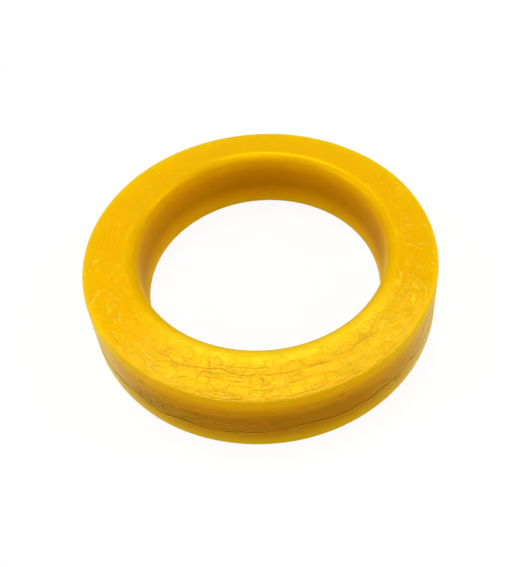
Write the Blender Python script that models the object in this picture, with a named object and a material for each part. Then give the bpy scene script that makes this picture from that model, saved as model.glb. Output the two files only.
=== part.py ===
"""A toilet wax ring: one moulded ring of soft wax that seals a bowl's outlet to the floor flange.

It lies on its wide base, as it does before it is pressed home. The origin is the centre of the base,
on the surface that the ring stands on, and +Z is the axis of the bore.
"""

import math

import bmesh
import bpy
from mathutils import Matrix, Vector

# Driving sizes, in metres. Each radius is where a drafted wall would meet the base or the top if its edge
# were sharp, so with the edges rounded the ring is 127 mm across.
BASE_RADIUS = 0.06395
TOP_RADIUS = 0.0595
BORE_BASE_RADIUS = 0.0437
BORE_TOP_RADIUS = 0.0428
HEIGHT = 0.0251

# The round edges of the section
OUTER_TOP_EDGE = 0.0028
OUTER_BASE_EDGE = 0.0022
INNER_TOP_EDGE = 0.0036
INNER_BASE_EDGE = 0.0022

# The fold where the wax was pressed together, a shallow groove that wanders round the outer wall
FOLD_HEIGHT = 0.0089
FOLD_DEPTH = 0.0005
FOLD_HALF_WIDTH = 0.0006

# Each wave of the wandering: how many times it repeats round the ring, its rise in metres, its phase in radians
FOLD_WAVES = ((2, 0.0011, -2.55), (7, 0.0003, -0.75), (12, 0.0003, -0.15))

# How finely the round shapes are divided
STEPS_ROUND = 96
STEPS_PER_EDGE = 5
SHARP_ANGLE = math.radians(40)
WELD_DISTANCE = 1e-6

WAX_YELLOW = (0.80, 0.40, 0.004, 1.0)
WAX_ROUGHNESS = 0.4


def clear_scene():
    for thing in list(bpy.data.objects):
        bpy.data.objects.remove(thing)


def wax_material():
    material = bpy.data.materials.new("yellow_wax")
    material.use_nodes = True
    shader = material.node_tree.nodes["Principled BSDF"]
    shader.inputs["Base Color"].default_value = WAX_YELLOW
    shader.inputs["Roughness"].default_value = WAX_ROUGHNESS
    shader.inputs["Metallic"].default_value = 0.0
    return material


def rounded_corner(before, corner, after, radius):
    """The arc that rounds a corner between its two neighbours, as points from the first side to the second."""
    toward_before = (before - corner).normalized()
    toward_after = (after - corner).normalized()
    half_angle = toward_before.angle(toward_after) / 2
    centre = corner + (toward_before + toward_after).normalized() * (radius / math.sin(half_angle))
    start = corner + toward_before * (radius / math.tan(half_angle)) - centre
    turn = start.angle_signed(corner + toward_after * (radius / math.tan(half_angle)) - centre)
    return [
        centre + start @ Matrix.Rotation(turn * step / STEPS_PER_EDGE, 2)
        for step in range(STEPS_PER_EDGE + 1)
    ]


def wall_point(height):
    """The point of the straight, drafted outer wall at a height."""
    share = height / HEIGHT
    return Vector((BASE_RADIUS + (TOP_RADIUS - BASE_RADIUS) * share, height))


def section():
    """The ring's section as (radius, height) points: up the outer wall with its fold, over the top, down the bore."""
    base_outer = Vector((BASE_RADIUS, 0.0))
    top_outer = Vector((TOP_RADIUS, HEIGHT))
    top_inner = Vector((BORE_TOP_RADIUS, HEIGHT))
    base_inner = Vector((BORE_BASE_RADIUS, 0.0))
    outline = rounded_corner(base_inner, base_outer, top_outer, OUTER_BASE_EDGE)
    outline.append(wall_point(FOLD_HEIGHT - FOLD_HALF_WIDTH))
    outline.append(wall_point(FOLD_HEIGHT) - Vector((FOLD_DEPTH, 0.0)))
    outline.append(wall_point(FOLD_HEIGHT + FOLD_HALF_WIDTH))
    outline += rounded_corner(base_outer, top_outer, top_inner, OUTER_TOP_EDGE)
    outline += rounded_corner(top_outer, top_inner, base_inner, INNER_TOP_EDGE)
    outline += rounded_corner(top_inner, base_inner, base_outer, INNER_BASE_EDGE)
    return outline


def fold_rise(angle):
    """How far the fold lies above its mean height at an angle round the ring."""
    return sum(rise * math.sin(lobes * angle + phase) for lobes, rise, phase in FOLD_WAVES)


def let_fold_wander(mesh):
    """Slides the fold's three rings of points up and down the wall, so that it runs unevenly as pressed wax does."""
    lift_from = FOLD_HEIGHT - FOLD_HALF_WIDTH - WELD_DISTANCE
    lift_to = FOLD_HEIGHT + FOLD_HALF_WIDTH + WELD_DISTANCE
    wall_slope = (TOP_RADIUS - BASE_RADIUS) / HEIGHT
    inside_wall = (BORE_BASE_RADIUS + BASE_RADIUS) / 2
    for point in mesh.verts:
        radius = point.co.xy.length
        if radius > inside_wall and lift_from < point.co.z < lift_to:
            rise = fold_rise(math.atan2(point.co.y, point.co.x))
            point.co.xy *= (radius + rise * wall_slope) / radius
            point.co.z += rise


def turned_ring():
    """The section turned once round the axis of the bore, as one closed mesh."""
    mesh = bmesh.new()
    points = [mesh.verts.new((spot.x, 0.0, spot.y)) for spot in section()]
    edges = [mesh.edges.new((a, b)) for a, b in zip(points, points[1:] + points[:1])]
    bmesh.ops.spin(
        mesh,
        geom=points + edges,
        cent=(0.0, 0.0, 0.0),
        axis=(0.0, 0.0, 1.0),
        angle=math.tau,
        steps=STEPS_ROUND,
        use_merge=True,
    )
    bmesh.ops.remove_doubles(mesh, verts=mesh.verts, dist=WELD_DISTANCE)
    let_fold_wander(mesh)
    bmesh.ops.recalc_face_normals(mesh, faces=mesh.faces)
    return mesh


def make_wax_ring():
    mesh = turned_ring()
    data = bpy.data.meshes.new("wax_ring")
    mesh.to_mesh(data)
    mesh.free()
    data.materials.append(wax_material())
    data.shade_smooth()
    data.set_sharp_from_angle(angle=SHARP_ANGLE)
    ring = bpy.data.objects.new("wax_ring", data)
    bpy.context.scene.collection.objects.link(ring)
    return ring


clear_scene()
make_wax_ring()
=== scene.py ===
# %% [markdown]
# # Dressing a toilet wax ring
# A wax ring is the soft gasket between a toilet bowl and the floor flange. It is one lump of yellow wax,
# pressed in a mould and handled a good deal before it is fitted, so its skin is creased, flaked and
# scuffed. The working model is a plain turned ring of the right size. This lesson keeps that size and
# builds the wax skin over it, in the working model's own frame.

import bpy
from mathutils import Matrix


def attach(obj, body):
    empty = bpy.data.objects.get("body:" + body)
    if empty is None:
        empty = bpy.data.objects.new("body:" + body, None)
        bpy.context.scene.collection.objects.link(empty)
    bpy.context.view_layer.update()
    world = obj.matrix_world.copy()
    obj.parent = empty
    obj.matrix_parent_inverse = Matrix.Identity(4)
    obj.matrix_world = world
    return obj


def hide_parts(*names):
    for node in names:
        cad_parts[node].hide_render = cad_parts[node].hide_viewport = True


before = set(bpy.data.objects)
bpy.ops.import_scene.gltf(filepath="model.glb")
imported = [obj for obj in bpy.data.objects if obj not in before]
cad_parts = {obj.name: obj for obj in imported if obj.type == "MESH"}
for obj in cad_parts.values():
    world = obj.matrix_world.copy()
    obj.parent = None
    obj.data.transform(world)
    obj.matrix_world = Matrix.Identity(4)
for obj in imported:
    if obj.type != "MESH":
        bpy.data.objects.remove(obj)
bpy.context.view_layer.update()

# %% [markdown]
# ## Units and small helpers
# Wax is worked in millimetres, and Blender in metres. One named factor keeps the sizes below readable.
# numpy moves all of the skin's points at once, which is far quicker than a loop over them. One seeded source
# of random numbers serves every pattern, so the ring comes out the same each time.

# %% Units and random numbers
import math

import bpy
import numpy as np
from mathutils import Matrix, Vector

MM = 0.001
SEED = 7
chance = np.random.default_rng(SEED)
print("one millimetre is", MM, "m, and all random marks come from seed", SEED)

# %% [markdown]
# ## Read the ring's sizes from the working model
# The skin has to stay where the plain ring is, so its height is read from the plain ring. The plain ring
# could also be cut finer and roughened as it is, but its even rows don't follow the creases. The flat top
# and base are the points at the greatest and least height, and the radii printed here are what the section
# below has to agree with.

# %% Measure the plain ring
plain_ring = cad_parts["wax_ring"]
plain_points = np.array([point.co for point in plain_ring.data.vertices])
plain_radius = np.hypot(plain_points[:, 0], plain_points[:, 1])
HEIGHT = plain_points[:, 2].max()
FLATNESS = 0.01 * MM
flat_top = plain_radius[plain_points[:, 2] > HEIGHT - FLATNESS]
flat_base = plain_radius[plain_points[:, 2] < FLATNESS]
print("height", HEIGHT, "radii from", plain_radius.min(), "to", plain_radius.max())
print("flat top from", flat_top.min(), "to", flat_top.max())
print("flat base from", flat_base.min(), "to", flat_base.max())

# %% [markdown]
# ## The section, as a line that can be walked along
# A turned skin needs the section's outline. It could be a curve object, but a formula for the point at
# any distance along the outline makes it easy to crowd points together where the wax is creased.
# Each corner is rounded by an arc, found from the corner and its two neighbours.

# %% Outline of the section
OUTER_TOP_EDGE = 2.8 * MM
OUTER_BASE_EDGE = 2.2 * MM
INNER_TOP_EDGE = 3.6 * MM
INNER_BASE_EDGE = 2.2 * MM
ARC_STEPS = 24
BASE_CORNER = Vector((63.95 * MM, 0.0))
TOP_CORNER = Vector((59.5 * MM, HEIGHT))
BORE_TOP_CORNER = Vector((42.8 * MM, HEIGHT))
BORE_BASE_CORNER = Vector((43.7 * MM, 0.0))


def rounded_corner(before, corner, after, radius):
    """The arc that rounds a corner, from the side of the corner before it to the side of the one after."""
    toward_before = (before - corner).normalized()
    toward_after = (after - corner).normalized()
    half_angle = toward_before.angle(toward_after) / 2
    centre = corner + (toward_before + toward_after).normalized() * (radius / math.sin(half_angle))
    start = corner + toward_before * (radius / math.tan(half_angle)) - centre
    turn = start.angle_signed(corner + toward_after * (radius / math.tan(half_angle)) - centre)
    return [centre + start @ Matrix.Rotation(turn * step / ARC_STEPS, 2) for step in range(ARC_STEPS + 1)]


outline = [Vector(((BORE_BASE_CORNER.x + BASE_CORNER.x) / 2, 0.0))]
outline += rounded_corner(BORE_BASE_CORNER, BASE_CORNER, TOP_CORNER, OUTER_BASE_EDGE)
outline += rounded_corner(BASE_CORNER, TOP_CORNER, BORE_TOP_CORNER, OUTER_TOP_EDGE)
outline += rounded_corner(TOP_CORNER, BORE_TOP_CORNER, BORE_BASE_CORNER, INNER_TOP_EDGE)
outline += rounded_corner(BORE_TOP_CORNER, BORE_BASE_CORNER, BASE_CORNER, INNER_BASE_EDGE)
outline.append(outline[0].copy())
outline = np.array(outline)
steps = np.diff(outline, axis=0)
step_lengths = np.hypot(steps[:, 0], steps[:, 1])
walked = np.concatenate([[0.0], np.cumsum(step_lengths)])
PERIMETER = walked[-1]
print("the outline is", round(PERIMETER / MM, 1), "mm long")

# %% [markdown]
# ## Places on the skin
# A crease is described the way it is seen: on the wall by its height, on the top by its radius. Both are
# turned into one number, the distance walked along the outline in millimetres, so that one set of tools
# works everywhere.

# %% Walk along the outline
# Where each rounded edge ends among the outline's points
BASE_EDGE_END = 2 + ARC_STEPS
TOP_EDGE_END = BASE_EDGE_END + ARC_STEPS + 1
INNER_EDGE_END = TOP_EDGE_END + ARC_STEPS + 1


def on_wall(height):
    """Distance along the outline to a height on the outer wall, both in millimetres."""
    wall = slice(1, TOP_EDGE_END)
    return np.interp(np.asarray(height) * MM, outline[wall, 1], walked[wall]) / MM


def on_top(radius):
    """Distance along the outline to a radius on the top face, both in millimetres."""
    face = slice(BASE_EDGE_END, INNER_EDGE_END)
    return np.interp(np.asarray(radius) * MM, outline[face, 0][::-1], walked[face][::-1]) / MM


AROUND = PERIMETER / MM
print("the wall's foot is at", on_wall(2.5), "the top's rim at", on_top(59.0), "of", AROUND)

# %% [markdown]
# ## Rows and columns of points
# The skin is a net: columns go round the ring, rows go round its section. A uniform net fine enough for the
# creases would have a million points. Instead the points are crowded where the wax is creased and seen
# closest, and left wide apart on the smooth bore, the base and the far side.

# %% Crowd the net where the detail is
def crowded(last, spacing):
    """Places from 0 to just before last, as close together as spacing(place) asks."""
    fine = np.linspace(0.0, last, 20001)
    middles = (fine[1:] + fine[:-1]) / 2
    passed = np.concatenate([[0.0], np.cumsum(np.diff(fine) / spacing(middles))])
    count = round(passed[-1])
    return np.interp(np.arange(count) * passed[-1] / count, passed, fine)


# Millimetres between rows at places along the outline: close on the top face and at the fold
ROW_GAPS = [
    (0.0, 1.7), (on_wall(0.6), 0.6), (on_wall(3.0), 0.75), (on_wall(7.0), 0.6), (on_wall(8.2), 0.26),
    (on_wall(10.2), 0.26), (on_wall(11.5), 0.6), (on_wall(20.0), 0.6), (on_top(60.0), 0.29),
    (on_top(46.5), 0.33), (on_top(43.5), 0.6), (on_top(43.5) + 6.0, 1.5), (AROUND - 14.0, 1.5),
    (AROUND - 12.0, 0.9), (AROUND - 9.0, 0.9), (AROUND, 1.7),
]
# Degrees between columns at azimuths: close over the front half, which is 180 to 360 degrees round from +X
COLUMN_GAPS = [
    (0, 0.46), (6, 0.6), (20, 0.72), (160, 0.72), (176, 0.6), (180, 0.42), (352, 0.40), (360, 0.46),
]


def row_spacing(place):
    """Millimetres between rows at a place along the outline."""
    return np.interp(place, *zip(*ROW_GAPS))


def column_spacing(azimuth):
    """Degrees between columns at an azimuth."""
    return np.interp(azimuth, *zip(*COLUMN_GAPS))


row_places = crowded(AROUND, row_spacing)
azimuth = crowded(360.0, column_spacing)
angle = np.radians(azimuth)
print(len(row_places), "rows and", len(azimuth), "columns")

# %% [markdown]
# ## Random unevenness that wraps round
# Hand-pressed wax is never even. Random heights on a coarse grid, joined smoothly, give the unevenness.
# Long cells lying round the ring give the smears that turning and handling leave, and because the grid
# wraps in both directions there is no seam.

# %% Smooth random ripples
MEAN_RADIUS = 55.0


def ripple(place, around, along):
    """Smooth random values from -1 to 1 over the net, in cells of about these sizes in millimetres."""
    cells_round = max(3, round(math.tau * MEAN_RADIUS / around))
    cells_along = max(3, round(AROUND / along))
    corner = chance.uniform(-1.0, 1.0, (cells_along, cells_round))
    across = np.broadcast_to(azimuth / 360.0 * cells_round, place.shape)
    up = place / AROUND * cells_along
    left, low = np.floor(across).astype(int), np.floor(up).astype(int)
    ease_x, ease_y = across - left, up - low
    ease_x = ease_x * ease_x * (3.0 - 2.0 * ease_x)
    ease_y = ease_y * ease_y * (3.0 - 2.0 * ease_y)
    left, right = left % cells_round, (left + 1) % cells_round
    low, high = low % cells_along, (low + 1) % cells_along
    bottom = corner[low, left] * (1 - ease_x) + corner[low, right] * ease_x
    top = corner[high, left] * (1 - ease_x) + corner[high, right] * ease_x
    return bottom * (1 - ease_y) + top * ease_y


print("ripples close on themselves after", round(math.tau * MEAN_RADIUS), "mm round the ring")

# %% [markdown]
# ## The two creases that run right along the ring
# Where the warm wax was pressed together it left a fold round the outer wall, and a wavy crease along the
# middle of the top face. A groove narrower than the net comes out as a row of teeth, so the rows near each
# of them are bent to follow it. Each crease is a list of azimuths in degrees, with heights in millimetres
# for the fold and radii for the crease on the top.

# %% Bend the rows along the long creases
FOLD = [
    (-150, 7.9), (-147, 7.3), (-142, 8.3), (-137, 8.3), (-132, 9.5), (-130, 9.0), (-128, 7.7), (-124, 7.2),
    (-119, 8.7), (-115, 9.0), (-110, 8.3), (-101, 8.9), (-95, 9.6), (-90, 10.0), (-85, 10.5), (-79, 10.4),
    (-74, 9.7), (-65, 9.6), (-61, 10.0), (-55, 10.1), (-53, 9.6), (-49, 10.6), (-45, 9.7), (-41, 9.1),
    (-38, 9.0), (-34, 10.2), (-31, 9.7), (-22, 9.0), (-5, 8.4), (20, 8.9), (52, 9.4), (80, 8.8),
    (110, 8.2), (140, 8.9), (165, 8.1), (188, 8.5), (202, 7.6),
]
FOLD_MIDDLE = 9.2
SMEAR_CREASE = [
    (-165, 51.6), (-150, 52.4), (-138, 52.2), (-128, 52.3), (-119.5, 52.5), (-113, 51.6), (-107.8, 50.7),
    (-103, 51.3), (-98.5, 52.2), (-94.3, 51.7), (-85.5, 51.7), (-78, 51.9), (-72.8, 52.0), (-69.9, 51.3),
    (-61.3, 51.6), (-56.2, 51.3), (-47.9, 52.0), (-38, 52.4), (-30, 52.0),
]
SMEAR_MIDDLE = 52.0
FOLD_REACH, SMEAR_REACH = 6.0, 4.5


def run_of(line, place_of):
    """Where a long crease lies at every column, as a distance along the outline."""
    around, places = np.array(line).T
    order = np.argsort(around % 360)
    return np.interp(azimuth, (around % 360)[order], place_of(places[order]), period=360)


fold_run = run_of(FOLD, on_wall)
smear_run = run_of(SMEAR_CREASE, on_top)
place = np.repeat(row_places[:, None], len(azimuth), axis=1)
bends = ((fold_run, on_wall(FOLD_MIDDLE), FOLD_REACH), (smear_run, on_top(SMEAR_MIDDLE), SMEAR_REACH))
for run, middle, reach in bends:
    pull = np.clip(1.0 - np.abs(place - middle) / reach, 0.0, 1.0)
    place = place + (run - middle) * pull * pull * (3.0 - 2.0 * pull)
print("rows stay in order:", bool((np.diff(place, axis=0) > 0).all()))

# %% [markdown]
# ## Where the net lies on the plain ring
# Every point of the net gets its radius and height from the outline, and the direction that faces outward
# from the section. The relief will push points along that direction.

# %% Lay the net on the section
radius = np.interp(place * MM, walked, outline[:, 0])
height = np.interp(place * MM, walked, outline[:, 1])
SLOPE_STEP = 0.15
ahead, behind = (place + SLOPE_STEP) % AROUND * MM, (place - SLOPE_STEP) % AROUND * MM
run_radius = np.interp(ahead, walked, outline[:, 0]) - np.interp(behind, walked, outline[:, 0])
run_height = np.interp(ahead, walked, outline[:, 1]) - np.interp(behind, walked, outline[:, 1])
run_length = np.hypot(run_radius, run_height)
out_radius, out_height = run_height / run_length, -run_radius / run_length
# How far each point belongs to the top face, to the base and to the bore, from 0 to 1
on_face = np.clip((out_height - 0.5) * 2.5, 0.0, 1.0)
under = np.clip((-out_height - 0.1) * 3.0, 0.0, 1.0)
inside = np.clip((-out_radius - 0.2) * 2.0, 0.0, 1.0)
print("share of the net on the top face:", round(float(on_face.mean()), 2))

# %% [markdown]
# ## A line drawn on the skin
# Cracks, scratches and flakes are all lines of points, each an azimuth and a distance along the outline.
# They are thinner than the net, so they aren't cut into the mesh. Instead each net point learns how far it
# is from the nearest line, with a plus on one side and a minus on the other. Between two net points that
# number changes evenly, so a material can find the exact place where it passes zero and draw a hair-thin
# crack there. Wobbling the places first makes the lines ragged, as they are in wax.

# %% Distance to a line
FAR_AWAY = 99.0
wobble_x = 0.40 * ripple(place, 3.2, 2.6) + 0.24 * ripple(place, 1.5, 1.3)
wobble_y = 0.34 * ripple(place, 3.2, 2.6) + 0.24 * ripple(place, 1.5, 1.3)
patchy = np.clip(0.5 + 0.9 * ripple(place, 3.0, 1.8), 0.0, 1.0)


def turn_from(first):
    """Degrees from one azimuth to every column, the short way round."""
    return (azimuth - first + 180.0) % 360.0 - 180.0


def measure(line):
    """How far each net point is from a line, the same signed by its side, and how far from an end."""
    nearest = np.full(place.shape, FAR_AWAY)
    side = np.zeros(place.shape)
    gone = np.zeros(place.shape)
    begun = 0.0
    for (az_a, place_a), (az_b, place_b) in zip(line, line[1:]):
        mm_per_degree = np.radians(1.0) * float(np.interp(place_a * MM, walked, outline[:, 0])) / MM
        x = turn_from(az_a) * mm_per_degree + wobble_x
        y = place - place_a + wobble_y
        length_x, length_y = (az_b - az_a) * mm_per_degree, place_b - place_a
        length = math.hypot(length_x, length_y)
        share = np.clip((x * length_x + y * length_y) / length ** 2, 0.0, 1.0)
        away = np.hypot(x - share * length_x, y - share * length_y)
        closer = away < nearest
        nearest = np.where(closer, away, nearest)
        side = np.where(closer, np.where(length_x * y > length_y * x, away, -away), side)
        gone = np.where(closer, begun + share * length, gone)
        begun += length
    return nearest, side, np.minimum(gone, begun - gone)


print("lines wobble by up to", round(float(np.abs(wobble_x).max()), 2), "mm")

# %% [markdown]
# ## Families of lines
# One number per net point can only hold one line's distance, so lines that cross go into different
# families: creases that run round the ring, cracks across it, and raised flecks. In a family the nearest
# line wins. Each family also keeps a strength, which fades at a line's ends. The wider creases are pressed
# into the mesh as well, so that the relief is there in the shape and not only in the material.

# %% Families that collect lines
families = {}
for family_name in ("crease", "crack", "fleck"):
    families[family_name] = {
        "away": np.full(place.shape, FAR_AWAY),
        "second": np.full(place.shape, FAR_AWAY),
        "side": np.zeros(place.shape),
        "strength": np.zeros(place.shape),
    }
relief = np.zeros(place.shape)
END_FADE = {"crease": 1.0, "crack": 0.8, "fleck": 0.35}


def draw(family_name, strength, line, patchiness=0.5, closed=False, dent=0.0, dent_width=0.5):
    """Adds a line to a family. Its dent, in millimetres, also presses the net in, or out if negative."""
    global relief
    family = families[family_name]
    away, side, to_end = measure(line)
    fade = 1.0 if closed else np.clip(to_end / END_FADE[family_name] + 0.1, 0.0, 1.0)
    force = strength * fade * (1.0 - patchiness + 2.0 * patchiness * patchy)
    nearer = away < family["away"]
    family["second"] = np.where(nearer, family["away"], np.minimum(family["second"], away))
    family["side"] = np.where(nearer, side, family["side"])
    family["strength"] = np.where(nearer, force, family["strength"])
    family["away"] = np.minimum(family["away"], away)
    relief = relief - dent * force * np.exp(-(away / dent_width) ** 2)


def top_line(points):
    """A line of (azimuth, radius) points on the top face, as distances along the outline."""
    return [(az, float(on_top(r))) for az, r in points]


def wall_line(points):
    """A line of (azimuth, height) points on the outer wall, as distances along the outline."""
    return [(az, float(on_wall(z))) for az, z in points]


print("families:", list(families))

# %% [markdown]
# ## The marks on the top face
# In the front half the skin of the top face has split, with long creases running round it and short cracks
# across it. Each line below is a strength and its points, each an azimuth in degrees and a radius in
# millimetres. They are drawn one by one because their pattern, dense in front and thinning towards the
# sides, is what makes this wax look handled rather than machined.

# %% Long creases of the top face
# The long crease is strong in front and fades towards both sides
SMEAR_FORCE = [(-76, 0.12), (-48, 0.25), (-28, 1.0), (28, 1.0), (40, 0.35), (60, 0.15)]
smear_force = np.interp(turn_from(-90.0), *zip(*SMEAR_FORCE))
draw("crease", smear_force, top_line(SMEAR_CREASE), 0.4, dent=0.10, dent_width=0.7)
TOP_CREASES = [
    (0.6, [(-124, 58.6), (-112, 58.3), (-104, 58.7), (-96, 58.3), (-85, 58.6), (-76, 58.3), (-64, 58.6),
           (-50, 58.4)]),
    (0.6, [(-87, 55.2), (-83, 54.7), (-78, 54.8), (-73, 55.2), (-68, 55.3), (-60, 55.0)]),
    (0.7, [(-115, 57.6), (-111, 57.4), (-108, 57.1), (-104, 57.2), (-100, 57.7)]),
    (0.6, [(-112, 53.6), (-105, 53.2), (-102, 53.6), (-99, 53.5)]),
    (0.6, [(-104, 49.6), (-100, 49.5), (-96, 49.9), (-92, 49.8), (-88, 49.4)]),
    (0.5, [(-80, 50.2), (-76, 50.3), (-72, 50.0), (-68, 49.9), (-64, 49.6)]),
    (0.6, [(-98, 56.3), (-92, 56.0), (-88, 56.5)]),
    (0.6, [(-74, 56.9), (-68, 57.0), (-62, 56.6), (-56, 56.9)]),
    (0.5, [(-70, 53.4), (-64, 53.2), (-58, 53.6)]),
    (0.5, [(-120, 47.8), (-114, 47.6), (-108, 47.9)]),
    (0.5, [(-84, 47.5), (-78, 47.3), (-70, 47.6)]),
    (0.35, [(-138, 55.4), (-132, 55.0), (-126, 55.6), (-120, 55.2)]),
    (0.35, [(-134, 57.2), (-128, 56.9), (-122, 57.0)]),
    (0.35, [(-130, 49.8), (-124, 49.6), (-118, 50.0)]),
]
for strength, points in TOP_CREASES:
    draw("crease", strength, top_line(points), dent=0.05)
print(len(TOP_CREASES) + 1, "creases on the top")

# %% [markdown]
# ## Short cracks
# The cracks run from crease to crease, mostly straight across the ring. The front has most of them, and on
# the left they get faint. They press the mesh in less than the creases do, because they are narrower.

# %% Cracks across the top face
TOP_CRACKS = [
    (0.9, [(-108.8, 58.3), (-109.6, 55.8), (-109.2, 53.0)]),
    (0.9, [(-110.4, 50.8), (-111.6, 48.4), (-111.8, 46.2)]),
    (0.6, [(-111.9, 50.0), (-113.4, 46.2)]),
    (0.8, [(-105, 50.4), (-104.6, 47.2)]),
    (0.6, [(-103.2, 50.2), (-102.6, 47.6)]),
    (0.8, [(-99.6, 58.6), (-99.2, 57.0)]),
    (0.7, [(-97.6, 55.2), (-97.1, 53.8)]),
    (1.0, [(-94.2, 55.6), (-93.6, 53.9), (-94.0, 52.4)]),
    (0.8, [(-90.4, 50.3), (-89.4, 46.8)]),
    (0.6, [(-87.8, 57.2), (-87.2, 53.5), (-87.6, 50.2)]),
    (0.7, [(-83.7, 50.4), (-83.1, 48.3)]),
    (0.9, [(-78.2, 58.6), (-77.3, 56.8), (-77.9, 54.9)]),
    (1.0, [(-73.8, 56.6), (-73.0, 55.4)]),
    (0.9, [(-68.3, 51.3), (-67.6, 48.4)]),
    (0.8, [(-63.8, 55.2), (-63.2, 53.8)]),
    (0.9, [(-61.2, 52.2), (-59.4, 49.6), (-60.2, 47.0)]),
    (0.9, [(-57.8, 52.0), (-56.6, 49.4), (-56.4, 46.6)]),
    (0.9, [(-54.6, 51.8), (-53.2, 49.6), (-52.6, 47.0)]),
    (0.7, [(-51.2, 51.4), (-49.8, 48.9)]),
    (0.4, [(-126.6, 56.6), (-124.4, 53.0)]),
    (0.4, [(-124.0, 56.4), (-121.8, 53.2)]),
    (0.5, [(-121.4, 56.0), (-119.4, 53.0)]),
    (0.6, [(-118.0, 52.0), (-117.2, 49.6)]),
    (0.6, [(-106.6, 57.0), (-106.0, 54.0)]),
    (0.6, [(-101.6, 56.0), (-102.4, 53.6)]),
    (0.6, [(-82.0, 58.2), (-82.6, 55.4)]),
    (0.6, [(-70.4, 55.0), (-69.8, 52.4)]),
    (0.6, [(-66.0, 58.2), (-66.8, 56.0)]),
    (0.6, [(-54.0, 58.0), (-55.2, 55.0)]),
]
for strength, points in TOP_CRACKS:
    draw("crack", strength, top_line(points), dent=0.03)
print(len(TOP_CRACKS), "cracks on the top")

# %% [markdown]
# ## Scrapes and flecks
# Where something has brushed the wax it has raised thin ridges and small flakes, which catch the light. The
# largest are drawn from the real ring, and small ones are strewn at random between them, each lying at a
# slant to the ring as they do where the wax was wiped.

# %% Raised flecks
FLECKS = [
    [(-135.6, 56.9), (-134.0, 56.1)], [(-133.2, 57.4), (-131.9, 56.6)], [(-130.6, 58.9), (-129.4, 58.1)],
    [(-136.2, 54.4), (-134.8, 53.5)], [(-144.0, 57.3), (-142.0, 56.7)], [(-160.8, 57.3), (-159.3, 56.5)],
    [(-156.8, 58.2), (-158.6, 57.2), (-159.4, 56.0), (-162.2, 54.6)], [(-159.2, 52.6), (-157.8, 51.7)],
    [(-155.8, 51.0), (-154.4, 50.0)], [(-164.3, 49.9), (-162.9, 49.1)], [(-165.8, 47.4), (-164.4, 46.6)],
    [(-160.4, 48.2), (-158.8, 47.8)], [(-173.8, 55.9), (-175.7, 54.0)], [(-148.0, 52.9), (-146.0, 53.4)],
    [(-41.0, 57.3), (-38.0, 57.0), (-35.8, 57.6)], [(-34.8, 55.0), (-33.2, 54.0)],
    [(-29.8, 55.4), (-28.4, 54.6)], [(-31.8, 54.8), (-30.4, 53.7)], [(-28.8, 58.0), (-27.2, 57.0)],
    [(-36.8, 52.4), (-35.2, 51.7)], [(-38.8, 50.8), (-37.2, 50.2)], [(-32.2, 51.0), (-30.8, 50.0)],
    [(-27.2, 51.0), (-25.9, 50.0)], [(-22.2, 54.6), (-20.9, 53.5)], [(-19.8, 58.0), (-18.4, 57.0)],
    [(-12.0, 48.6), (-11.3, 50.0), (-11.9, 51.4)],
    [(-11.3, 53.0), (-10.6, 55.5)], [(-3.2, 48.0), (-3.0, 50.0), (-1.0, 50.6), (-1.5, 52.5)],
    [(-7.0, 50.9), (-6.1, 50.0)], [(2.0, 51.4), (3.1, 50.7)], [(134.3, 53.4), (136.0, 52.6)],
    [(142.3, 50.3), (143.8, 49.6)], [(124.2, 56.3), (126.0, 55.8)], [(114.4, 55.2), (115.8, 54.8)],
    [(103.6, 55.2), (104.7, 54.8)], [(20.4, 56.5), (21.8, 55.6)],
    [(-53.5, 57.1), (-50.4, 57.6), (-46.0, 57.4)], [(-50.0, 56.2), (-46.5, 56.4), (-43.5, 56.1)],
    [(-46.0, 55.0), (-43.0, 55.4)], [(-139.5, 58.0), (-136.8, 58.4)], [(-127.8, 57.2), (-125.2, 57.5)],
    [(-122.0, 57.4), (-118.6, 57.7)], [(-131.0, 54.6), (-127.0, 54.9)], [(-128.4, 56.0), (-124.6, 56.3)],
]
for points in FLECKS:
    draw("fleck", 1.0, top_line(points), 0.25, dent=-0.08, dent_width=0.5)
STREWN = 150
STREWN_MIDDLE, STREWN_REACH = -88.0, 115.0
for count in range(STREWN):
    az = STREWN_MIDDLE + STREWN_REACH * chance.uniform(0.25, 1.0) * chance.choice([-1.0, 1.0])
    r = chance.uniform(46.5, 58.8)
    long = chance.uniform(0.5, 1.7)
    down = chance.uniform(0.2, 0.9) * long
    draw("fleck", chance.uniform(0.25, 0.7), top_line([(az, r), (az + long, r - down)]), 0.3, dent=-0.02)
print(len(FLECKS) + STREWN, "flecks")

# %% [markdown]
# ## The marks on the outer wall
# The wall has the fold, some fine cracks that run along with it, a few scratches and some pits. A long
# faint edge runs round it two thirds of the way up, where the wax above was pressed a little proud. The
# lists give azimuths in degrees and heights in millimetres, and only the fold is a closed line.

# %% Fold, creases and cracks of the wall
fold_line = sorted((az - 360.0 if az > 180 else az, z) for az, z in FOLD)
fold_line.append((fold_line[0][0] + 360.0, fold_line[0][1]))
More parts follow.
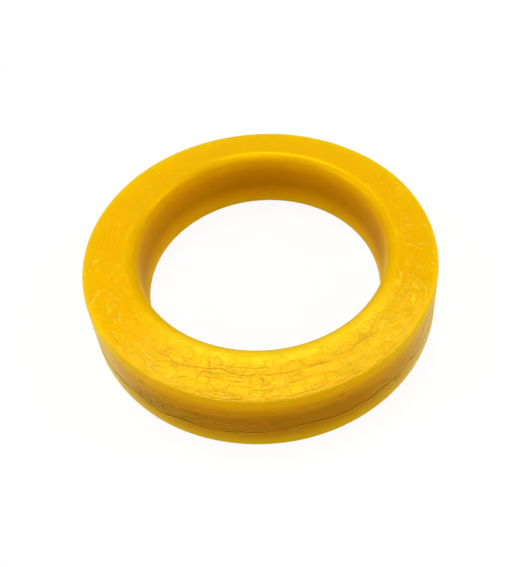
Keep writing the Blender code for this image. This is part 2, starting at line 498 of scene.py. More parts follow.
# How deep the fold is at azimuths from -180 to 180 degrees
FOLD_FORCE = [(-150, 1.6), (-118, 1.5), (-110, 0.9), (-93, 0.8), (-86, 1.3), (-40, 1.3), (-30, 0.9)]
fold_force = np.interp(azimuth - 360.0 * (azimuth > 180.0), *zip(*FOLD_FORCE))
draw("crease", fold_force, wall_line(fold_line), 0.25, closed=True, dent=0.16, dent_width=0.4)
EDGE_LINE = [
    (-160, 15.2), (-140, 15.4), (-133, 16.0), (-126, 15.5), (-118, 15.8), (-105, 16.8), (-95, 17.8),
    (-85, 18.0), (-78, 17.5), (-70, 17.2), (-60, 16.4), (-50, 16.6), (-40, 16.0), (-25, 15.4),
]
draw("crease", 0.4, wall_line(EDGE_LINE), 0.5)
WALL_CREASES = [
    (1.2, [(-152, 9.9), (-146, 9.5), (-140, 10.1), (-134, 10.6), (-128, 9.6), (-121, 9.6), (-113, 10.2)]),
    (1.1, [(-133, 12.4), (-126, 11.5), (-119, 11.3), (-112, 11.9)]),
    (0.9, [(-131, 13.8), (-125, 13.4), (-120, 12.9)]),
    (0.6, [(-58, 11.8), (-52, 12.2), (-46, 11.9), (-40, 12.1)]),
    (0.5, [(-52, 14.7), (-45, 15.1), (-40, 14.8)]),
    (0.5, [(-110, 12.9), (-101, 12.2), (-96, 12.5)]),
    (0.35, [(-92, 13.6), (-84, 13.9), (-76, 13.4)]),
    (0.5, [(-77.5, 15.8), (-73.5, 15.9), (-70, 15.5)]),
    (0.3, [(-120, 19.4), (-110, 19.9), (-100, 19.6)]),
    (0.25, [(-84, 20.0), (-72, 20.4), (-60, 19.8)]),
    (0.25, [(-108, 6.4), (-98, 6.0), (-90, 6.5)]),
    (0.4, [(-70, 6.9), (-60, 6.4), (-52, 6.8)]),
    (0.4, [(-56, 18.6), (-50, 19.0), (-44, 18.7)]),
]
for strength, points in WALL_CREASES:
    draw("crease", strength, wall_line(points), dent=0.04)
WALL_CRACKS = [
    (1.0, [(-128, 16.0), (-127.2, 12.0), (-127.6, 8.4)]),
    (1.0, [(-124.5, 15.2), (-122.8, 12.6), (-123.4, 10.8)]),
    (0.6, [(-120.2, 15.6), (-119.0, 13.4), (-119.6, 11.2)]),
    (0.7, [(-131.6, 15.6), (-130.4, 13.0), (-131.0, 10.8)]),
    (0.6, [(-115.6, 14.6), (-114.6, 12.4)]),
    (0.9, [(-63.5, 12.0), (-60.5, 12.5), (-58.0, 13.2)]),
    (0.6, [(-71.2, 18.8), (-69.0, 16.4), (-67.2, 14.2)]),
    (0.8, [(-41, 14.5), (-40.5, 17.0), (-38.4, 19.6), (-36, 20.8), (-35, 18.6)]),
    (0.5, [(-47.0, 13.6), (-45.8, 11.0)]),
    (0.5, [(-52.6, 18.0), (-51.0, 15.6)]),
    (0.6, [(-137.6, 18.4), (-136.4, 16.0), (-136.8, 13.6)]),
    (0.5, [(-104.0, 10.6), (-103.4, 9.2)]),
]
for strength, points in WALL_CRACKS:
    draw("crack", strength, wall_line(points), dent=0.03)
draw("fleck", 0.7, wall_line([(-95.5, 17.4), (-93.6, 14.4), (-92.3, 11.4)]), 0.2)
print(len(WALL_CREASES) + 2, "creases and", len(WALL_CRACKS), "cracks on the wall")

# %% [markdown]
# ## Pits
# A few small holes are left where a crumb or an air bubble came out of the wall. Cutting them out would
# break up the net, and they are shallow, so the points round each of them are pressed in instead.

# %% Pits of the wall
PITS = [(-128.5, 20.0), (-121.0, 18.0), (-112.0, 16.0), (-103.5, 18.8), (-57.8, 13.3), (-73.0, 19.5)]
PIT_SIZE, PIT_DEPTH, PIT_STRETCH = 0.42, 0.22, 0.8
WALL_RADIUS = 61.0
pit = np.zeros(place.shape)
for az, z in PITS:
    x = turn_from(az) * math.radians(WALL_RADIUS)
    away = np.hypot(x * PIT_STRETCH + wobble_x, place - float(on_wall(z)) + wobble_y)
    pit = np.maximum(pit, np.exp(-(away / PIT_SIZE) ** 2))
relief = relief - PIT_DEPTH * pit
print(len(PITS), "pits")

# %% [markdown]
# ## Where each finish lies
# Besides the lines, the material has to know how split, blistered, crumbly or rubbed the skin is at every
# point, and how much light and shade is painted there. These masks could be painted by hand. A few
# soft-edged sectors and bands, multiplied, put each finish where the ring has it, and one number moves it.

# %% Sectors and bands
def sector(middle, half_span, fade):
    """1 round an azimuth, falling to 0 at half_span degrees from it over the last fade degrees."""
    return np.clip((half_span - np.abs(turn_from(middle))) / fade, 0.0, 1.0)


def band(middle, width):
    """1 at a place along the outline, falling off as a bell of about a width in millimetres."""
    return np.exp(-((place - middle) / width) ** 2)


def between(first, last, first_fade, last_fade):
    """1 between two places along the outline, falling to 0 at each over its fade in millimetres."""
    return np.clip((place - first) / first_fade, 0.0, 1.0) * np.clip((last - place) / last_fade, 0.0, 1.0)


off_top = (1.0 - inside) * (1.0 - on_face)
print("share of the net on the wall and the base:", round(float(off_top.mean()), 2))

# %% [markdown]
# ## Split, blistered, crumbly and rubbed skin
# The front of the top face has split into plates, and so has a patch on the left of the wall. Beside the
# split skin the wax has blistered into small lumps. The rims have crumbled where they were knocked, and
# hands have rubbed the front of the top face paler, which also gets a painted sheen. The wall's two ends get
# a painted whitish sheen.

# %% Masks of the handled skin
LEFT_PATCH, LEFT_REACH = on_wall(12.6), 3.6
split_top = sector(-83.0, 58.0, 22.0) * on_face * between(on_top(59.6), on_top(45.4), 0.8, 1.5)
split_left = sector(-126.0, 16.0, 6.0) * between(LEFT_PATCH - LEFT_REACH, LEFT_PATCH + LEFT_REACH, 1.4, 1.4)
split_skin = np.maximum(split_top, 0.8 * split_left)
blistered = np.maximum(sector(-43.0, 24.0, 8.0), 0.7 * sector(-139.0, 20.0, 8.0)) * on_face
blistered = blistered * between(on_top(58.6), on_top(46.5), 0.8, 1.5)
outer_crumbs = band(on_top(59.1), 0.8) * (0.12 + 0.88 * sector(-86.0, 62.0, 14.0))
inner_crumbs = band(on_top(45.6), 1.2) * 0.9 * sector(140.0, 38.0, 14.0)
crumbly = np.maximum(outer_crumbs, inner_crumbs)
# Where the front of the top face is rubbed paler and gets a painted sheen
rubbed_and_sheen = sector(-86.0, 60.0, 26.0) * on_face
# Painted whitish sheen towards the wall's ends
toward_ends = (1.0 - sector(-92.0, 52.0, 30.0)) * off_top
end_sheen = toward_ends ** 2 * np.clip((24.0 - height / MM) / 6.0, 0.4, 1.0)
print("split", round(float(split_skin.mean()), 3), "blistered", round(float(blistered.mean()), 3))

# %% [markdown]
# ## Painted light and shade along the section
# Wax is translucent, so it is lightest at its round edges, where light gets in from two sides, and darkest
# half-way up a wall, where it also looks more orange. Subsurface scattering gives some of this. The rest is
# painted light and shade: a table of how light the colour is made at places along the section, and how much
# of its green it keeps in the painted shade.

# %% Painted light and shade
bore_top = on_top(43.2)
bore_foot = bore_top + HEIGHT / MM - 4.5
# Painted light and shade: places along the outline, how light the colour is made there, and how much green
# it keeps
SHADES = [
    (on_wall(0.0), 1.14, 0.93),
    (on_wall(4.0), 1.13, 0.93),
    (on_wall(7.0), 0.82, 0.84),
    (on_wall(9.5), 0.67, 0.79),
    (on_wall(15.0), 0.64, 0.79),
    (on_wall(19.0), 0.86, 0.83),
    (on_wall(21.0), 1.08, 0.90),
    (on_wall(23.0), 1.27, 0.87),
    (on_top(59.2), 1.38, 0.82),
    (on_top(58.2), 1.16, 0.82),
    (on_top(57.2), 0.96, 0.95),
    (on_top(45.0), 0.93, 0.98),
    (bore_top + 1.5, 1.0, 0.95),
    (bore_top + 5.0, 0.82, 0.89),
    (bore_top + 12.0, 0.69, 0.86),
    (bore_foot - 3.0, 1.02, 0.90),
    (bore_foot, 1.2, 0.92),
    (bore_foot + 4.0, 1.12, 0.93),
    (AROUND, 1.12, 0.93),
]
shade_places, shades, greens = zip(*SHADES)
painted_lightness = np.interp(place, shade_places, shades)
shade_greenness = np.interp(place, shade_places, greens)

# The wax above the wall's faint edge stands a little proud, and is painted a little lighter, as light from
# above would make it
EDGE_PAINTED_LIGHT, EDGE_FADE = 0.07, 0.5
edge_run = run_of(EDGE_LINE + [(20, 15.4), (90, 15.4), (160, 15.2)], on_wall)
above_edge = np.clip((place - edge_run + wobble_y) / EDGE_FADE + 0.5, 0.0, 1.0)
painted_lightness = painted_lightness + EDGE_PAINTED_LIGHT * above_edge * np.clip((20.0 - height / MM) / 2.0, 0.0, 1.0) * off_top

# The rubbed front gets a painted sheen, most of all in a band near the bore and in one near the rim
FRONT_SHEEN_LIFT, BORE_BAND_SHEEN, RIM_BAND_SHEEN = 0.04, 0.20, 0.07
sheen_bands = BORE_BAND_SHEEN * band(on_top(46.6), 2.4) + RIM_BAND_SHEEN * band(on_top(55.2), 1.8)
painted_lightness = painted_lightness + rubbed_and_sheen * (FRONT_SHEEN_LIFT + sheen_bands)

# Towards its ends the wall gets a painted sheen, and its painted light and shade are evened out
END_SHEEN_LIFT, END_EVENING = 0.10, 0.7
END_GREEN, GREEN_EVENING = 0.97, 0.8
painted_lightness = painted_lightness + (END_SHEEN_LIFT + END_EVENING * np.maximum(1.0 - painted_lightness, 0.0)) * toward_ends
painted_green = painted_lightness * (shade_greenness + GREEN_EVENING * (END_GREEN - shade_greenness) * toward_ends)
print("lightness from", round(float(painted_lightness.min()), 2), "to", round(float(painted_lightness.max()), 2))

# %% [markdown]
# ## The whole skin
# Under the single marks the whole surface waves a little, and low smears run round the ring. The bore is
# the smoothest part, because the mould's core left it, and the underside is pressed flat by its weight.

# %% Waves and smears of the whole skin
WAVE_RISE, WAVELET_RISE, SMEAR_RISE, CRUMB_RISE, EDGE_RISE = 0.07, 0.03, 0.022, 0.10, 0.05
relief = relief + WAVE_RISE * ripple(place, 24.0, 9.0) + WAVELET_RISE * ripple(place, 9.0, 5.0)
smear = ripple(place, 9.0, 0.9) * 0.6 + ripple(place, 5.0, 0.6) * 0.4
busy = 0.3 + 0.7 * sector(-88.0, 75.0, 30.0)
relief = relief + SMEAR_RISE * smear * busy * (1.0 - 0.75 * inside)
crumb = np.clip(ripple(place, 1.5, 0.8) * 0.9 + ripple(place, 0.8, 0.5) * 0.6, -0.3, 1.0)
relief = relief + CRUMB_RISE * crumbly * crumb
proud = above_edge * np.clip((22.0 - height / MM) / 4.0, 0.0, 1.0) * (1.0 - inside)
relief = relief + EDGE_RISE * proud
pressed_flat = np.minimum(relief, 0.0) * 0.6
relief = relief * (1.0 - under) + pressed_flat * under
print("relief from", round(float(relief.min()), 2), "to", round(float(relief.max()), 2), "mm")

# %% [markdown]
# ## Building the skin
# The relief pushes each point of the net outward from the section. Then the net becomes one closed mesh of
# quads: both directions wrap round, so there is no border to sew.

# %% Make the skin mesh
skin_radius = radius + relief * MM * out_radius
skin_height = np.maximum(height + relief * MM * out_height, 0.0)
skin_points = np.stack([skin_radius * np.cos(angle), skin_radius * np.sin(angle), skin_height], axis=-1)
here = np.arange(place.size).reshape(place.shape)
beside = np.roll(here, -1, axis=1)
above = np.roll(here, -1, axis=0)
quads = np.stack([here, beside, np.roll(beside, -1, axis=0), above], axis=-1)
skin_mesh = bpy.data.meshes.new("wax_skin")
skin_mesh.from_pydata(skin_points.reshape(-1, 3).tolist(), [], quads.reshape(-1, 4).tolist())
skin_mesh.shade_smooth()
wax_skin = bpy.data.objects.new("wax_skin", skin_mesh)
bpy.context.scene.collection.objects.link(wax_skin)
print("the skin has", 2 * len(skin_mesh.polygons), "triangles")

# %% [markdown]
# ## Numbers that travel with the mesh
# An attribute is one number per point that a material can read. The masks go in as they are. Each family of
# lines goes in as its signed distance and its strength. The strength is taken down far from the line, and
# where two lines of a family are equally near, because there the distance jumps from one to the other.

# %% Give the mesh its masks
NEAR, FAR = 0.7, 1.7
CLEAR_OF_NEXT = 0.5
masks = {
    "split": split_skin,
    "blistered": blistered,
    "crumbly": crumbly,
    "rubbed_and_sheen": rubbed_and_sheen,
    "end_sheen": end_sheen,
    "pit": pit,
    "painted_lightness": painted_lightness,
    "painted_green": painted_green,
    "place": place,
    "on_face": on_face,
    "under": under,
}
for family_name, family in families.items():
    close = np.clip((FAR - family["away"]) / (FAR - NEAR), 0.0, 1.0)
    alone = np.clip((family["second"] - family["away"]) / CLEAR_OF_NEXT, 0.0, 1.0)
    masks[family_name + "_side"] = np.clip(family["side"], -FAR, FAR)
    masks[family_name + "_strength"] = family["strength"] * close * alone
for name, mask in masks.items():
    attribute = skin_mesh.attributes.new(name, "FLOAT", "POINT")
    attribute.data.foreach_set("value", np.ascontiguousarray(mask, dtype=np.float32).ravel())
print("attributes:", list(masks))

# %% [markdown]
# ## Writing shader maths as Python
# A material is a net of nodes, and a long formula takes many. This small class wraps a socket so that plain
# Python sums on it add the Math nodes. One method adds any other node from its type, its settings and what
# its sockets hold.

# %% A socket that Python can reckon with
class Wire:
    """A socket of a node tree. Sums on it add Math nodes."""

    def __init__(self, tree, socket=None):
        self.tree = tree
        self.socket = socket

    def node(self, kind, settings, sockets, output=0):
        """Adds a node, makes its settings, then fills its sockets with values or links."""
        made = self.tree.nodes.new(kind)
        for name, value in settings.items():
            setattr(made, name, value)
        for name, value in sockets.items():
            if isinstance(value, Wire):
                self.tree.links.new(value.socket, made.inputs[name])
            else:
                made.inputs[name].default_value = value
        return Wire(self.tree, made.outputs[output] if len(made.outputs) else None)

    def maths(self, operation, *values, clamp=False):
        """Adds a Math node on numbers and wires."""
        settings = {"operation": operation, "use_clamp": clamp}
        return self.node("ShaderNodeMath", settings, dict(enumerate(values)))

    def ramp(self, gain):
        """The value times a gain, kept between 0 and 1."""
        return self.maths("MULTIPLY", self, gain, clamp=True)

    def __add__(self, other):
        return self.maths("ADD", self, other)

    def __radd__(self, other):
        return self.maths("ADD", other, self)

    def __sub__(self, other):
        return self.maths("SUBTRACT", self, other)

    def __rsub__(self, other):
        return self.maths("SUBTRACT", other, self)

    def __mul__(self, other):
        return self.maths("MULTIPLY", self, other)

    def __rmul__(self, other):
        return self.maths("MULTIPLY", other, self)

    def __abs__(self):
        return self.maths("ABSOLUTE", self)


def blend(share, first, second):
    """A colour between two, through a Mix node."""
    settings = {"data_type": "RGBA", "clamp_factor": True}
    return share.node("ShaderNodeMix", settings, {"Factor": share, 6: first, 7: second}, 2)


def new_material(name):
    """An empty material and a wire to start its nodes from."""
    material = bpy.data.materials.new(name)
    material.use_nodes = True
    material.node_tree.nodes.clear()
    return material, Wire(material.node_tree)


print("a sum on a wire may use +, -, * and abs")

# %% [markdown]
# ## Places for the patterns
# A pattern that follows the ring needs to know how far round it is and how far along the section. The first
# comes from the angle, with its seam at the back where the wax is smooth, and the second is an attribute.
# With both in millimetres, a pattern's size is written in millimetres too. Where a pattern need not follow
# the ring, it is laid in space, which has no seam at all.

# %% Coordinates on the skin
wax, start = new_material("yellow_wax")


def vector_maths(operation, first, second):
    """A Vector Math node on two vectors, or on a vector and a number for SCALE."""
    sockets = {0: first, "Scale": second} if operation == "SCALE" else {0: first, 1: second}
    output = "Value" if operation == "DOT_PRODUCT" else "Vector"
    return start.node("ShaderNodeVectorMath", {"operation": operation}, sockets, output)


def attribute_value(name):
    """One of the mesh's attributes as a number."""
    return start.node("ShaderNodeAttribute", {"attribute_name": name}, {}, "Fac")


def noise_value(vector, scale, detail=3.0, roughness=0.6, distortion=0.0):
    """Soft random values from 0 to 1."""
    sockets = {"Vector": vector, "Scale": scale, "Detail": detail}
    sockets.update({"Roughness": roughness, "Distortion": distortion})
    return start.node("ShaderNodeTexNoise", {}, sockets)


in_mm = vector_maths("SCALE", start.node("ShaderNodeTexCoord", {}, {}, "Object"), 1.0 / MM)
x_mm = start.node("ShaderNodeSeparateXYZ", {}, {0: in_mm}, "X")
y_mm = start.node("ShaderNodeSeparateXYZ", {}, {0: in_mm}, "Y")
round_ring = start.maths("ARCTAN2", x_mm, y_mm * -1.0) * MEAN_RADIUS
on_skin = start.node("ShaderNodeCombineXYZ", {}, {"X": round_ring, "Y": attribute_value("place")})
print("coordinates take", len(wax.node_tree.nodes), "nodes")

# %% [markdown]
# ## The lines, drawn crisply
# Near a line the signed distance runs evenly through zero. A bell curve of it gives the groove, and a second
# bell on each side gives the lips of wax pushed aside. A fine noise added to the distance frays the line.

# %% Grooves, lips and flecks from the distances
CREASE_HALF_WIDTH, CRACK_HALF_WIDTH, FLECK_HALF_WIDTH = 0.17, 0.14, 0.26
WALL_WIDENING = 0.7
LIP_AWAY = 2.0
face_mask = attribute_value("on_face")
fine = noise_value(in_mm, 1.0, 2.0, 0.5)
fray = (noise_value(in_mm, 2.4, 2.0) - 0.5) * 0.35


def bell(across):
    """1 where a value is 0, falling off to about nothing at 2."""
    return across.maths("EXPONENT", across * across * -1.0)


def line_shape(family_name, half_width):
    """The groove and the lips of a family of lines, which are wider on the wall than on the top face."""
    strength = attribute_value(family_name + "_strength")
    across = (attribute_value(family_name + "_side") + fray) * (1.0 / half_width)
    across = across * (WALL_WIDENING + (1.0 - WALL_WIDENING) * face_mask)
    return bell(across) * strength, bell(abs(across) - LIP_AWAY) * strength


crease, crease_lip = line_shape("crease", CREASE_HALF_WIDTH)
crack, crack_lip = line_shape("crack", CRACK_HALF_WIDTH)
fleck = line_shape("fleck", FLECK_HALF_WIDTH)[0]
print("with the lines the material has", len(wax.node_tree.nodes), "nodes")

# %% [markdown]
# ## Split skin
# In front the skin has broken into small plates, each lying at its own slight tilt. They could be drawn one
# by one like the cracks, but a cell texture makes hundreds at once: its edge distance gives the hairline
# between plates, and each cell's colour gives its tilt. Warping the places first keeps the plates from
# looking like tiles.

# %% Plates
PLATE_LONG, PLATE_WIDE = 5.2, 3.0
WARP = 0.75
warp_noise = start.node("ShaderNodeTexNoise", {}, {"Vector": in_mm, "Scale": 0.55, "Detail": 3.0}, "Color")
plate_share = vector_maths("MULTIPLY", on_skin, (1.0 / PLATE_LONG, 1.0 / PLATE_WIDE, 0.0))
plate_spot = vector_maths("ADD", plate_share, vector_maths("SCALE", warp_noise, WARP))
plate_sockets = {"Vector": plate_spot, "Scale": 1.0}
to_edge = {"voronoi_dimensions": "2D", "feature": "DISTANCE_TO_EDGE"}
nearest_cell = {"voronoi_dimensions": "2D", "feature": "F1"}
edge = start.node("ShaderNodeTexVoronoi", to_edge, plate_sockets)
plate_colour = start.node("ShaderNodeTexVoronoi", nearest_cell, plate_sockets, "Color")
plate_middle = start.node("ShaderNodeTexVoronoi", nearest_cell, plate_sockets, "Position")
lean = vector_maths("SUBTRACT", plate_colour, (0.5, 0.5, 0.5))
plate_tilt = vector_maths("DOT_PRODUCT", lean, vector_maths("SUBTRACT", plate_spot, plate_middle))
plate_tilt = plate_tilt * edge.ramp(8.0)
plate_shade = start.node("ShaderNodeSeparateXYZ", {}, {0: plate_colour}, "Z")
split_mask = attribute_value("split")
patches = (noise_value(in_mm, 0.35) - 0.38).ramp(5.0)
hairline = bell(edge * 17.0) * split_mask * patches
print("plates about", PLATE_LONG, "by", PLATE_WIDE, "mm")

# %% [markdown]
# ## Smears, blisters and crumbs
# Noise does for the marks that have no clear outline. Stretched along the ring it gives smears, stretched
# less it gives the long lumps of blistered skin, and unstretched it gives crumbs. A steep ramp turns a soft
# noise into lumps with clear sides.

# %% Soft patterns
crumbly_mask = attribute_value("crumbly")
end_sheen_mask = attribute_value("end_sheen")
smears = noise_value(vector_maths("MULTIPLY", on_skin, (0.09, 1.0, 1.0)), 0.9, 4.0)
lumps = noise_value(vector_maths("MULTIPLY", on_skin, (0.5, 1.0, 1.0)), 0.5, 3.0, 0.5, 0.9)
mottle = noise_value(in_mm, 0.11, 3.0, 0.55)
crumbs = noise_value(in_mm, 0.95, 4.0, 0.65)
blister = (lumps - 0.52).ramp(8.0) * attribute_value("blistered")
crumb_peak = (crumbs - 0.5).ramp(5.0) * crumbly_mask
print("with the soft patterns the material has", len(wax.node_tree.nodes), "nodes")

# %% [markdown]
# ## Colour of the wax
# The yellow is nearly even, with slow mottling. It is paler where it has been rubbed or scraped. Over that
# come painted light and shade: sheen on the rubbed front and at the wall's ends, highlights on flecks, lips,
# crumbs and blisters, and shade in grooves, cracks, hairlines and pits, orange on the top face and brown on
# the wall. Each finish is laid over the ones before it.

# %% Colour
WAX_YELLOW = (0.83, 0.45, 0.001, 1.0)
WAX_WARM = (0.80, 0.405, 0.001, 1.0)
WAX_RUBBED_SHEEN = (0.98, 0.575, 0.022, 1.0)
WAX_END_SHEEN = (0.95, 0.70, 0.28, 1.0)
WAX_BLISTER_HIGHLIGHT = (1.0, 0.65, 0.025, 1.0)
WAX_SCRAPED_HIGHLIGHT = (0.99, 0.66, 0.07, 1.0)
WAX_GROOVE_SHADE = (0.50, 0.17, 0.0, 1.0)
WAX_LINE_SHADE = (0.86, 0.37, 0.0, 1.0)
off_face = 1.0 - face_mask
finishes = [
    # Rubbed front, paler from rubbing and from painted sheen, with paler random plates
    (attribute_value("rubbed_and_sheen") * 0.45 + plate_shade * split_mask * 0.20, WAX_RUBBED_SHEEN),
    # Painted whitish sheen at the wall's ends
    (end_sheen_mask * smears * 0.16, WAX_END_SHEEN),
    # Painted highlights on blister tops, and on flecks, lips and crumbs, which are also scraped paler
    (blister * 0.7, WAX_BLISTER_HIGHLIGHT),
    (fleck * 0.52 + crease_lip * 0.4 + crack_lip * 0.35 + crumb_peak * 0.2, WAX_SCRAPED_HIGHLIGHT),
    # Painted shade in the wall's grooves, cracks and pits, and in the top face's lines and hairlines
    ((crease * 0.9 + crack * 0.75) * off_face + attribute_value("pit") * 0.8, WAX_GROOVE_SHADE),
    ((crease * 0.75 + crack * 0.7) * face_mask + hairline * 0.45, WAX_LINE_SHADE),
]
base = blend((mottle - 0.3) * 1.6, WAX_YELLOW, WAX_WARM)
for share, colour in finishes:
    base = blend(share, base, colour)
# The painted light and shade along the section multiply the colour
light = attribute_value("painted_lightness")
shade = start.node("ShaderNodeCombineColor", {}, {0: light, 1: attribute_value("painted_green"), 2: light})
multiply = {"data_type": "RGBA", "blend_type": "MULTIPLY"}
shaded_base = start.node("ShaderNodeMix", multiply, {"Factor": 1.0, 6: base, 7: shade}, 2)
print(len(finishes), "finishes laid over the yellow")

# %% [markdown]
# ## Relief finer than the mesh
# The mesh carries the waves and the wider creases. What is finer than its net is left to a Bump node: the
# lips and bottoms of the lines, the tilt of the plates, flecks, lumps and grain. All heights are shares of
# one depth, so that the whole relief can be made stronger or weaker at once.

# %% Fine relief
RELIEF_DEPTH = 2.2 * MM
busy_mask = split_mask * 0.7 + 0.3
line_force = 1.3 - face_mask * 0.82
heights = [
    (fine * busy_mask, 0.08),
    (lumps * split_mask, 0.05),
    (blister, 0.15),
    (plate_tilt * split_mask, 0.42),
    (hairline, -0.04),
    (crease_lip * line_force, 0.08),
    (crease * line_force, -0.13),
    (crack_lip * line_force, 0.06),
    (crack * line_force, -0.10),
    (fleck, 0.065),
    (crumbs * crumbly_mask, 0.3),
]
raised = smears * busy_mask * (1.0 - attribute_value("under")) * 0.19
for pattern, rise in heights:
    raised = raised + pattern * rise
bump = start.node("ShaderNodeBump", {}, {"Height": raised, "Distance": RELIEF_DEPTH, "Strength": 1.0})
print(len(heights) + 1, "patterns in the fine relief")

# %% [markdown]
# ## The wax itself
# Petrolatum wax is a deep translucent yellow. Light goes in and comes out some way off, which softens every
# shadow, so most of the shading is subsurface scattering. Its gloss is yellow too, which a very low index
# of refraction and a trace of Metallic give: a plain clear gloss would reflect the white room and leave the
# wax milky. Only the wall's ends, where a whitish sheen is also painted into the colour, have a clear gloss,
# as a faint coat. A yellow sheen lightens the wax where it turns away from the eye, as the fine fuzz of
# scuffed wax does.

# %% Wax material
shader = start.node(
    "ShaderNodeBsdfPrincipled",
    {"subsurface_method": "RANDOM_WALK"},
    {
        "Base Color": shaded_base,
        "Roughness": 0.30 + 0.14 * fine - 0.08 * split_mask,
        "Metallic": 0.15,
        "Normal": bump,
        "Subsurface Weight": 0.65,
        "Subsurface Radius": (1.0, 0.8, 0.1),
        "Subsurface Scale": 40.0 * MM,
        "IOR": 1.05,
        "Coat Weight": end_sheen_mask * 0.3,
        "Coat Roughness": 0.25,
        "Coat IOR": 1.5,
        "Sheen Weight": 0.5,
        "Sheen Roughness": 0.2,
        "Sheen Tint": (1.0, 0.85, 0.0, 1.0),
        "Specular Tint": (1.0, 0.8, 0.0, 1.0),
    },
)
start.node("ShaderNodeOutputMaterial", {}, {"Surface": shader})
skin_mesh.materials.append(wax)
print("wax material has", len(wax.node_tree.nodes), "nodes")

# %% [markdown]
# ## The floor
# The ring lies on a plain pale table. The table has its own pale grey, by which it lights the wax from
# below, and in a band under and round the ring it also glows, a painted light that neither the camera nor
# reflections see and that lights the foot of the wall. To the camera and in reflections it is an even white
# instead, and near the ring a small share of that white is a matt surface, so that the soft shadow still
# shows. Stronger lamps could whiten the table too, but they would wash out the wax.

# %% Pale floor
WHITE = (1.0, 1.0, 1.0, 1.0)
BLACK = (0.0, 0.0, 0.0, 1.0)
TABLE_GREY = (0.4, 0.4, 0.4, 1.0)
FLOOR_SIZE, FLOOR_DROP = 6.0, 0.02 * MM
PATCH_STRENGTH, PATCH_MIDDLE, PATCH_REACH, PATCH_FADE = 0.21, 53.5, 20.0, 10.0
SHADOW_SHARE, SHADOW_REACH, SHADOW_FADE = 0.09, 250.0, 100.0


def seen_directly(start):
    """1 for rays from the camera and for rays reflected or let through by gloss, otherwise 0."""
    path = start.node("ShaderNodeLightPath", {}, {}, "Is Camera Ray")
    gloss = start.node("ShaderNodeLightPath", {}, {}, "Is Glossy Ray")
    through = start.node("ShaderNodeLightPath", {}, {}, "Is Transmission Ray")
    return (path + gloss + through).ramp(1.0)


table, start = new_material("pale_table")
where = start.node("ShaderNodeTexCoord", {}, {}, "Object")
from_middle = start.node("ShaderNodeVectorMath", {"operation": "LENGTH"}, {0: where}, "Value") * (1.0 / MM)
glow_band = (PATCH_REACH - abs(from_middle - PATCH_MIDDLE)).ramp(1.0 / PATCH_FADE)
glow_colour = blend(glow_band, BLACK, WHITE)
glow = start.node("ShaderNodeEmission", {}, {"Color": glow_colour, "Strength": PATCH_STRENGTH})
matt = start.node("ShaderNodeBsdfDiffuse", {}, {"Color": TABLE_GREY})
lit = start.node("ShaderNodeAddShader", {}, {0: matt, 1: glow})
near_ring = (SHADOW_REACH - from_middle).ramp(1.0 / SHADOW_FADE)
even_white = start.node("ShaderNodeEmission", {}, {"Color": WHITE, "Strength": 1.0})
matt_white = start.node("ShaderNodeBsdfDiffuse", {}, {"Color": WHITE})
white = start.node("ShaderNodeMixShader", {}, {0: near_ring * SHADOW_SHARE, 1: even_white, 2: matt_white})
shown = start.node("ShaderNodeMixShader", {}, {0: seen_directly(start), 1: lit, 2: white})
start.node("ShaderNodeOutputMaterial", {}, {"Surface": shown})
half = FLOOR_SIZE / 2
floor_corners = [(-half, -half, 0), (half, -half, 0), (half, half, 0), (-half, half, 0)]
floor_mesh = bpy.data.meshes.new("floor")
floor_mesh.from_pydata(floor_corners, [], [(0, 1, 2, 3)])
floor_mesh.materials.append(table)
floor = bpy.data.objects.new("floor", floor_mesh)
floor.location.z = -FLOOR_DROP
bpy.context.scene.collection.objects.link(floor)
print("floor", FLOOR_SIZE, "m across")

# %% [markdown]
# ## Light
# The light is a plain soft studio light. The main lamp hangs over the ring, a little behind and left of its
# middle, a weaker one is high in front, and one stands on each side. A dim, slightly warm surround fills
# in the rest, and to the camera it is white. A square lamp sheds its power over pi times the distance
# squared on what faces it, and a white surface gives that back over pi, so a lamp's strength below is how
# bright it alone makes a white surface that faces it at the ring.

# %% Lamps and surround
SURROUND = (1.0, 0.95, 0.88, 1.0)
SURROUND_STRENGTH = 0.31
world = bpy.data.worlds.new("surround")
world.use_nodes = True
world.node_tree.nodes.clear()
start = Wire(world.node_tree)
dim = start.node("ShaderNodeBackground", {}, {"Color": SURROUND, "Strength": SURROUND_STRENGTH})
bright = start.node("ShaderNodeBackground", {}, {"Color": WHITE, "Strength": 1.0})
sky = start.node("ShaderNodeMixShader", {}, {0: seen_directly(start), 1: dim, 2: bright})
start.node("ShaderNodeOutputWorld", {}, {"Surface": sky})
bpy.context.scene.world = world

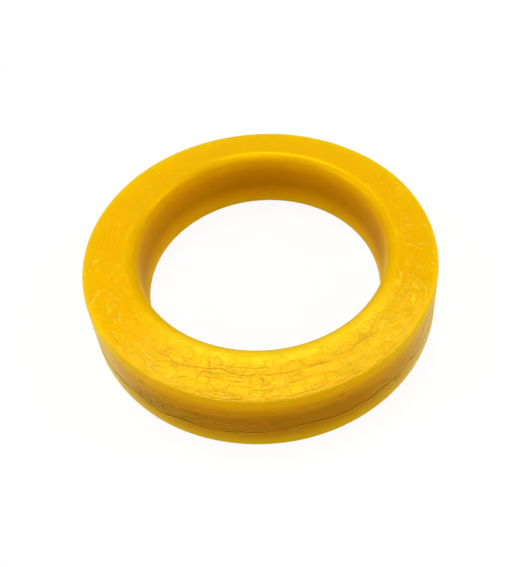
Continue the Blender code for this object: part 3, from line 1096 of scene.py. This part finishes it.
# Each lamp's name, where it is, its size and its strength
LAMPS = [
    ("overhead", (-0.1, 0.3, 1.05), 0.35, 0.45),
    ("front", (0.0, -0.45, 1.05), 0.4, 0.17),
    ("left", (-1.1, 0.0, 0.6), 0.6, 0.27),
    ("right", (1.1, 0.0, 0.6), 0.6, 0.30),
]
for name, spot, size, strength in LAMPS:
    lamp_data = bpy.data.lights.new(name, "AREA")
    lamp_data.shape = "SQUARE"
    lamp_data.size = size
    lamp_data.energy = strength * math.pi * Vector(spot).length ** 2 * math.pi
    lamp = bpy.data.objects.new(name, lamp_data)
    lamp.location = spot
    lamp.rotation_euler = Vector(spot).to_track_quat("Z", "Y").to_euler()
    bpy.context.scene.collection.objects.link(lamp)

# %% [markdown]
# ## Camera
# The camera looks down at the ring from about 50 degrees above the table, close enough for the near side to
# look clearly bigger. Its place was found by fitting round outlines to the ring's outer and inner edges,
# not by eye. The frame was cropped off-centre, which a small lens shift repeats.

# %% Camera
CAMERA_AT = (0.0, -103.35 * MM, 134.09 * MM)
ELEVATION, PAN, TILT, ROLL = (math.radians(degrees) for degrees in (49.907, 3.817, -4.081, -5.206))
SENSOR_WIDTH, LENS = 36.0, 27.588
SHIFT_X, SHIFT_Y = -0.0665, 0.0098
NEAREST_SEEN, FURTHEST_SEEN = 0.01, 20.0
camera_data = bpy.data.cameras.new("camera")
camera_data.sensor_width = SENSOR_WIDTH
camera_data.lens = LENS
camera_data.shift_x = SHIFT_X
camera_data.shift_y = SHIFT_Y
camera_data.clip_start = NEAREST_SEEN
camera_data.clip_end = FURTHEST_SEEN
camera = bpy.data.objects.new("camera", camera_data)
turn = Matrix.Rotation(math.radians(90) - ELEVATION, 4, "X") @ Matrix.Rotation(-PAN, 4, "Y")
turn = turn @ Matrix.Rotation(TILT, 4, "X") @ Matrix.Rotation(ROLL, 4, "Z")
camera.matrix_world = Matrix.Translation(CAMERA_AT) @ turn
bpy.context.scene.collection.objects.link(camera)
bpy.context.scene.camera = camera
bpy.context.scene.view_settings.view_transform = "Standard"
print("camera looks along", tuple(round(x, 4) for x in -turn.col[2].xyz))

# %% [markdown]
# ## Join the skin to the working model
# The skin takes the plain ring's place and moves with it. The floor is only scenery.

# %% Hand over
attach(wax_skin, "root")
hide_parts("wax_ring")
